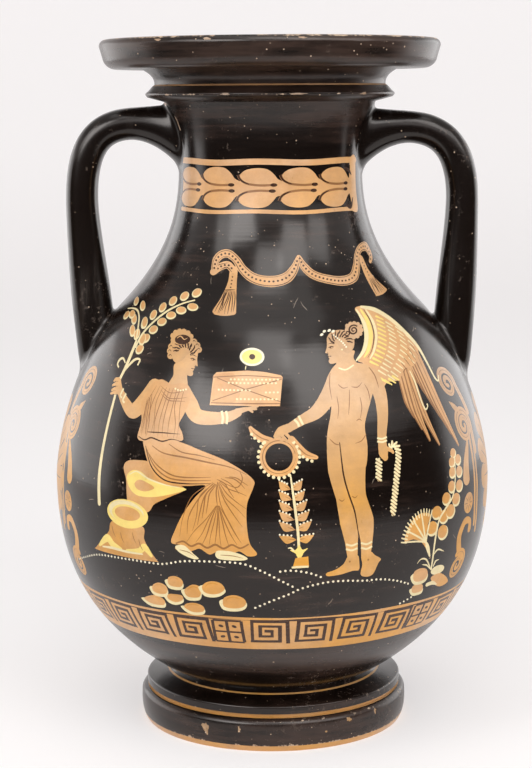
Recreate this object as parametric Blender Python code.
"""Pelike: a two-handled vase of thrown clay with a bag-shaped body, a stepped foot and a broad lip.

Metres, +Z up. The origin is the centre of the foot's underside. The front faces -Y, and the two
handles stand on the X axis. Clay fires into one piece: the mouth, neck, body, foot and handles are
one solid, hollow and open at the mouth, with a shallow hollow under the foot.
"""
import math

import bmesh
import bpy
from mathutils import Vector

# Foot: a rounded step, a groove, and a thinner disc on top that slopes up to the body
FOOT_REST_RADIUS = 0.0690
FOOT_STEP_RADIUS = 0.0713
FOOT_STEP_HEIGHT = 0.0172
FOOT_STEP_ROUNDING = 0.0040
FOOT_GROOVE_RADIUS = 0.0664
FOOT_GROOVE_HEIGHT = 0.0016
FOOT_DISC_RADIUS = 0.0682
FOOT_DISC_HEIGHT = 0.0046
FOOT_DISC_ROUNDING = 0.0012
FOOT_DISC_CHAMFER = 0.0004
FOOT_TOP_RISE = 0.0022

# Hollow under the foot, inside the ring that the vase rests on
REST_RING_WIDTH = 0.0125
RECESS_DEPTH = 0.0215
RECESS_SHOULDER = 0.0120

# Body: each station stands a rise above the one below it, and each length beside it says how far
# the outline keeps the station's direction
STEM_RADIUS = 0.0550
STEM_HEIGHT = 0.0026
STEM_FILLET = 0.0020
STEM_SLOPE = math.radians(31.4)
STEM_REACH = 0.0480
BELLY_RADIUS = 0.1148
BELLY_RISE = 0.1037
BELLY_REACH_DOWN = 0.0496
BELLY_REACH_UP = 0.0185
SHOULDER_RADIUS = 0.0785
SHOULDER_RISE = 0.0920
SHOULDER_SLOPE = math.radians(134.0)
SHOULDER_REACH_DOWN = 0.0379
SHOULDER_REACH_UP = 0.0400
NECK_RADIUS = 0.0479
NECK_RISE = 0.0719
NECK_REACH_DOWN = 0.0200
NECK_REACH_UP = 0.0190
THROAT_RADIUS = 0.0550
THROAT_RISE = 0.0324
THROAT_REACH = 0.0060

# Mouth: a thin ring, a hollow moulding above it and the overhanging lip
RING_RADIUS = 0.0648
RING_HEIGHT = 0.0078
RING_EDGE = 0.0010
MOULDING_RADIUS = 0.0600
MOULDING_HEIGHT = 0.0090
LIP_RADIUS = 0.0884
LIP_HEIGHT = 0.0150
LIP_UNDERCUT_RADIUS = 0.0665
LIP_TAPER = 0.0016
LIP_TOP_ROUNDING = 0.0034
LIP_LOW_ROUNDING = 0.0068

# Inside
WALL = 0.0055
FLOOR_THICKNESS = 0.0078
MOUTH_RADIUS = 0.0640
MOUTH_ROUNDING = 0.0050
MOUTH_FLARE = 0.0035

# Handles: flattened bars that leave the neck, turn down and grow into the shoulder. They were bent
# by hand: the left one arches a little higher and tucks in at its foot.
HANDLE_SPAN = 0.1005
HANDLE_NECK_DROP = 0.0190
LEFT_HANDLE_LIFT = 0.0022
LEFT_HANDLE_TUCK = 0.0036
HANDLE_NECK_SLOPE = math.radians(17.0)
HANDLE_NECK_REACH = 0.0400
HANDLE_ELBOW_DROP = 0.0510
HANDLE_ELBOW_REACH_UP = 0.0385
HANDLE_ELBOW_REACH_DOWN = 0.0180
HANDLE_LENGTH = 0.1060
HANDLE_LOW_INSET = 0.0145
HANDLE_LOW_LEAN = math.radians(85.0)
HANDLE_LOW_REACH = 0.0340
HANDLE_BITE = 0.0090
HANDLE_THICKNESS = 0.0165
HANDLE_WIDTH = 0.0230
HANDLE_NECK_THICKNESS = 0.0390
HANDLE_NECK_WIDTH = 0.0350
HANDLE_NECK_FLARE = 0.0360
HANDLE_LOW_THICKNESS = 0.0208
HANDLE_LOW_WIDTH = 0.0290
HANDLE_TIP_THICKNESS = 0.0150
HANDLE_SQUARENESS = 2.5

# Fineness of the facets
TURNS = 56
HANDLE_RINGS = 22
HANDLE_SIDES = 14

BLACK_GLOSS = (0.016, 0.013, 0.013, 1.0)


def bezier(start, start_reach, end_reach, end, steps):
    """Points along a cubic curve, without its first point."""
    points = []
    for step in range(1, steps + 1):
        t = step / steps
        u = 1.0 - t
        points.append(u ** 3 * start + 3 * u * u * t * start_reach + 3 * u * t * t * end_reach + t ** 3 * end)
    return points


def arc(centre, radius, start_degrees, end_degrees, steps):
    """Points along a round edge; 0 degrees points away from the axis and 90 degrees up."""
    points = []
    for step in range(steps + 1):
        angle = math.radians(start_degrees + (end_degrees - start_degrees) * step / steps)
        points.append(centre + radius * Vector((math.cos(angle), math.sin(angle))))
    return points


def heading(angle):
    """Unit direction in the outline's plane, x outwards and y up."""
    return Vector((math.cos(angle), math.sin(angle)))


def levels():
    """Heights of the parts of the vase, each stacked on the one below."""
    height = {"groove": FOOT_STEP_HEIGHT}
    height["disc"] = height["groove"] + FOOT_GROOVE_HEIGHT
    height["disc_top"] = height["disc"] + FOOT_DISC_HEIGHT
    height["stem"] = height["disc_top"] + FOOT_TOP_RISE
    height["body"] = height["stem"] + STEM_HEIGHT
    height["belly"] = height["body"] + BELLY_RISE
    height["shoulder"] = height["belly"] + SHOULDER_RISE
    height["neck"] = height["shoulder"] + NECK_RISE
    height["throat"] = height["neck"] + THROAT_RISE
    height["ring_top"] = height["throat"] + RING_HEIGHT
    height["lip"] = height["ring_top"] + MOULDING_HEIGHT
    height["top"] = height["lip"] + LIP_HEIGHT
    return height


def foot_outline(height):
    """Underside and side of the foot, up to where the body starts."""
    rounding = FOOT_STEP_ROUNDING
    centre_radius = FOOT_STEP_RADIUS - rounding
    outline = [Vector((0.0, 0.0)), Vector((FOOT_REST_RADIUS, 0.0))]
    outline += bezier(
        outline[-1],
        Vector((FOOT_REST_RADIUS + 0.8 * (FOOT_STEP_RADIUS - FOOT_REST_RADIUS), 0.15 * height["groove"])),
        Vector((FOOT_STEP_RADIUS, 0.40 * height["groove"])),
        Vector((FOOT_STEP_RADIUS, 0.62 * height["groove"])),
        3,
    )
    outline += arc(Vector((centre_radius, height["groove"] - rounding)), rounding, 15, 80, 2)
    outline.append(Vector((FOOT_GROOVE_RADIUS, height["groove"])))
    outline.append(Vector((FOOT_GROOVE_RADIUS, height["disc"])))
    outline.append(Vector((FOOT_DISC_RADIUS, height["disc"] + FOOT_DISC_CHAMFER)))
    corner = Vector((FOOT_DISC_RADIUS - FOOT_DISC_ROUNDING, height["disc_top"] - FOOT_DISC_ROUNDING))
    outline += arc(corner, FOOT_DISC_ROUNDING, 0, 80, 2)
    outline.append(Vector((STEM_RADIUS + STEM_FILLET, height["stem"])))
    outline.append(Vector((STEM_RADIUS, height["stem"] + 0.5 * STEM_HEIGHT)))
    return outline


def body_outline(height):
    """Body and neck, from the stem to the throat under the ring."""
    stem = Vector((STEM_RADIUS, height["body"]))
    belly = Vector((BELLY_RADIUS, height["belly"]))
    shoulder = Vector((SHOULDER_RADIUS, height["shoulder"]))
    neck = Vector((NECK_RADIUS, height["neck"]))
    throat = Vector((THROAT_RADIUS, height["throat"]))
    up = Vector((0.0, 1.0))
    inwards = heading(SHOULDER_SLOPE)
    outline = [stem]
    outline += bezier(stem, stem + STEM_REACH * heading(STEM_SLOPE), belly - BELLY_REACH_DOWN * up, belly, 8)
    outline += bezier(
        belly, belly + BELLY_REACH_UP * up, shoulder - SHOULDER_REACH_DOWN * inwards, shoulder, 5
    )
    outline += bezier(
        shoulder, shoulder + SHOULDER_REACH_UP * inwards, neck - NECK_REACH_DOWN * up, neck, 5
    )
    throat_back = throat - THROAT_REACH * heading(math.radians(62.0))
    outline += bezier(neck, neck + NECK_REACH_UP * up, throat_back, throat, 3)
    return outline


def mouth_outline(height):
    """Ring, hollow moulding and lip, up to the middle of the top."""
    outline = [
        Vector((RING_RADIUS - RING_EDGE, height["throat"] + 0.30 * RING_HEIGHT)),
        Vector((RING_RADIUS, height["throat"] + 0.52 * RING_HEIGHT)),
        Vector((RING_RADIUS - 0.6 * RING_EDGE, height["throat"] + 0.70 * RING_HEIGHT)),
    ]
    waist = Vector((MOULDING_RADIUS, height["ring_top"] + 0.12 * MOULDING_HEIGHT))
    undercut = Vector((LIP_UNDERCUT_RADIUS, height["lip"]))
    outline.append(waist)
    outline += bezier(
        waist,
        waist + Vector((0.0, 0.50 * MOULDING_HEIGHT)),
        undercut - Vector((0.45 * (LIP_UNDERCUT_RADIUS - MOULDING_RADIUS), 0.20 * MOULDING_HEIGHT)),
        undercut,
        3,
    )
    low_radius = LIP_RADIUS - LIP_TAPER
    low_centre = Vector((low_radius - LIP_LOW_ROUNDING, height["lip"] + LIP_LOW_ROUNDING))
    outline += arc(low_centre, LIP_LOW_ROUNDING, -88, -8, 3)
    top_centre = Vector((LIP_RADIUS - LIP_TOP_ROUNDING, height["top"] - LIP_TOP_ROUNDING))
    outline += arc(top_centre, LIP_TOP_ROUNDING, 0, 90, 3)
    outline.append(Vector((0.0, height["top"])))
    return outline


def cavity_outline(height):
    """Inside of the vase: a floor, the body's outline moved in by the wall, and a flared mouth."""
    outside = body_outline(height)
    inside = []
    for before, here, after in zip(outside, outside[1:], outside[2:]):
        along = (after - before).normalized()
        inside.append(here + WALL * Vector((-along.y, along.x)))
    floor = Vector((0.0, RECESS_DEPTH + FLOOR_THICKNESS))
    start = inside[1]
    outline = [floor]
    outline += bezier(
        floor,
        Vector((0.55 * start.x, floor.y)),
        start - 0.3 * start.x * heading(STEM_SLOPE),
        start,
        2,
    )
    outline += inside[3:-1:2]
    neck_end = outline[-1]
    flare = Vector((MOUTH_RADIUS - MOUTH_FLARE, height["lip"] + 0.2 * LIP_HEIGHT))
    rise = flare.y - neck_end.y
    outline += bezier(
        neck_end,
        neck_end + Vector((0.05 * rise, 0.5 * rise)),
        flare - Vector((1.4 * MOUTH_FLARE, 0.35 * rise)),
        flare,
        3,
    )
    edge_centre = Vector((MOUTH_RADIUS + MOUTH_ROUNDING, height["top"] - MOUTH_ROUNDING))
    outline += arc(edge_centre, MOUTH_ROUNDING, 170, 105, 3)
    lid = height["top"] + WALL
    outline.append(Vector((outline[-1].x, lid)))
    outline.append(Vector((0.0, lid)))
    return outline


def recess_outline(height):
    """Hollow under the foot, from below the ground up to its shallow dome."""
    rim = FOOT_REST_RADIUS - REST_RING_WIDTH
    shoulder = Vector((rim - RECESS_SHOULDER, 0.85 * RECESS_DEPTH))
    crown = Vector((0.0, RECESS_DEPTH))
    outline = [Vector((0.0, -WALL)), Vector((rim, -WALL)), Vector((rim, 0.0))]
    outline += bezier(
        outline[-1],
        Vector((rim - 0.35 * RECESS_SHOULDER, 0.6 * RECESS_DEPTH)),
        Vector((rim - 0.5 * RECESS_SHOULDER, 0.82 * RECESS_DEPTH)),
        shoulder,
        3,
    )
    outline.append(Vector((0.5 * shoulder.x, 0.96 * RECESS_DEPTH)))
    outline.append(crown)
    return outline


def turned_mesh(name, outline):
    """Closed solid made by turning an outline, from axis to axis, about Z."""
    shape = bmesh.new()
    vertices = [shape.verts.new((point.x, 0.0, point.y)) for point in outline]
    edges = [shape.edges.new(pair) for pair in zip(vertices, vertices[1:])]
    bmesh.ops.spin(
        shape,
        geom=vertices + edges,
        cent=(0.0, 0.0, 0.0),
        axis=(0.0, 0.0, 1.0),
        angle=math.tau,
        steps=TURNS,
        use_merge=True,
    )
    bmesh.ops.remove_doubles(shape, verts=shape.verts, dist=1e-6)
    bmesh.ops.recalc_face_normals(shape, faces=shape.faces)
    mesh = bpy.data.meshes.new(name)
    shape.to_mesh(mesh)
    shape.free()
    return mesh


def outline_radius(outline, at_height):
    """Radius of an outline at a height between its points."""
    for low, high in zip(outline, outline[1:]):
        if low.y <= at_height <= high.y:
            share = (at_height - low.y) / (high.y - low.y)
            return low.x + share * (high.x - low.x)
    return outline[-1].x


def handle_path(height, lift, tuck):
    """Middle line of a handle in the plane of its bend, x outwards and y up."""
    outside = body_outline(height)
    neck_height = height["throat"] - HANDLE_NECK_DROP + lift
    neck = Vector((outline_radius(outside, neck_height) - HANDLE_BITE, neck_height))
    elbow = Vector((HANDLE_SPAN - 0.45 * tuck, height["throat"] - HANDLE_ELBOW_DROP))
    low_height = elbow.y - HANDLE_LENGTH
    low = Vector((outline_radius(outside, low_height) - HANDLE_LOW_INSET - tuck, low_height))
    steps = HANDLE_RINGS // 2
    up = Vector((0.0, 1.0))
    path = [neck]
    path += bezier(
        neck,
        neck + (HANDLE_NECK_REACH + lift) * heading(HANDLE_NECK_SLOPE),
        elbow + (HANDLE_ELBOW_REACH_UP + lift) * up,
        elbow,
        steps,
    )
    path += bezier(
        elbow,
        elbow - HANDLE_ELBOW_REACH_DOWN * up,
        low + HANDLE_LOW_REACH * heading(HANDLE_LOW_LEAN),
        low,
        steps,
    )
    return path


def ramp(value, start, end):
    """Smooth rise from 0 at start to 1 at end."""
    t = min(max((value - start) / (end - start), 0.0), 1.0)
    return t * t * (3.0 - 2.0 * t)


def handle_section(travelled, length):
    """Thickness and width of a handle at a distance along it from the neck."""
    share = travelled / length
    neck = max(1.0 - travelled / HANDLE_NECK_FLARE, 0.0) ** 2
    low = ramp(share, 0.42, 0.75)
    tip = ramp(share, 0.86, 1.0)
    thickness = HANDLE_THICKNESS + neck * (HANDLE_NECK_THICKNESS - HANDLE_THICKNESS)
    thickness += low * (HANDLE_LOW_THICKNESS - HANDLE_THICKNESS)
    thickness += tip * (HANDLE_TIP_THICKNESS - HANDLE_LOW_THICKNESS)
    width = HANDLE_WIDTH + neck * (HANDLE_NECK_WIDTH - HANDLE_WIDTH)
    width += ramp(share, 0.50, 0.90) * (HANDLE_LOW_WIDTH - HANDLE_WIDTH)
    return thickness, width


def handle_mesh(name, height, side):
    """Closed bar swept along a handle's path; side is 1 for +X and -1 for -X."""
    lift, tuck = (LEFT_HANDLE_LIFT, LEFT_HANDLE_TUCK) if side < 0 else (0.0, 0.0)
    path = handle_path(height, lift, tuck)
    lengths = [0.0]
    for before, after in zip(path, path[1:]):
        lengths.append(lengths[-1] + (after - before).length)
    shape = bmesh.new()
    rings = []
    for index, middle in enumerate(path):
        before = path[max(index - 1, 0)]
        after = path[min(index + 1, len(path) - 1)]
        along = (after - before).normalized()
        outwards = Vector((-along.y, along.x))
        thickness, width = handle_section(lengths[index], lengths[-1])
        ring = []
        for step in range(HANDLE_SIDES):
            angle = math.tau * step / HANDLE_SIDES
            across = math.copysign(abs(math.cos(angle)) ** (2.0 / HANDLE_SQUARENESS), math.cos(angle))
            sideways = math.copysign(abs(math.sin(angle)) ** (2.0 / HANDLE_SQUARENESS), math.sin(angle))
            point = middle + 0.5 * thickness * across * outwards
            ring.append(shape.verts.new((side * point.x, 0.5 * width * sideways, point.y)))
        rings.append(ring)
    for ring, following in zip(rings, rings[1:]):
        for step in range(HANDLE_SIDES):
            after = (step + 1) % HANDLE_SIDES
            shape.faces.new((ring[step], ring[after], following[after], following[step]))
    shape.faces.new(rings[0])
    shape.faces.new(rings[-1])
    bmesh.ops.recalc_face_normals(shape, faces=shape.faces)
    mesh = bpy.data.meshes.new(name)
    shape.to_mesh(mesh)
    shape.free()
    return mesh


def add_object(name, mesh):
    thing = bpy.data.objects.new(name, mesh)
    bpy.context.scene.collection.objects.link(thing)
    return thing


def add_tool(name, mesh):
    """Shape that only joins or cuts the vase."""
    tool = add_object(name, mesh)
    tool.hide_render = True
    tool.display_type = "WIRE"
    return tool


def combine(target, tool, operation):
    modifier = target.modifiers.new(f"{operation.lower()} {tool.name}", "BOOLEAN")
    modifier.operation = operation
    modifier.solver = "EXACT"
    modifier.object = tool


def fired_clay_material():
    material = bpy.data.materials.new("black_gloss_clay")
    material.use_nodes = True
    shader = material.node_tree.nodes["Principled BSDF"]
    shader.inputs["Base Color"].default_value = BLACK_GLOSS
    shader.inputs["Roughness"].default_value = 0.22
    shader.inputs["Metallic"].default_value = 0.0
    return material


def main():
    for thing in list(bpy.data.objects):
        bpy.data.objects.remove(thing)
    height = levels()
    outside = foot_outline(height) + body_outline(height) + mouth_outline(height)
    vase = add_object("pelike", turned_mesh("pelike", outside))
    vase.data.materials.append(fired_clay_material())
    for side, name in ((-1, "left_handle_shape"), (1, "right_handle_shape")):
        combine(vase, add_tool(name, handle_mesh(name, height, side)), "UNION")
    for outline, name in ((cavity_outline, "inside_shape"), (recess_outline, "foot_hollow_shape")):
        combine(vase, add_tool(name, turned_mesh(name, outline(height))), "DIFFERENCE")
    vase.data.shade_smooth()
    vase.data.set_sharp_from_angle(angle=math.radians(40.0))


main()
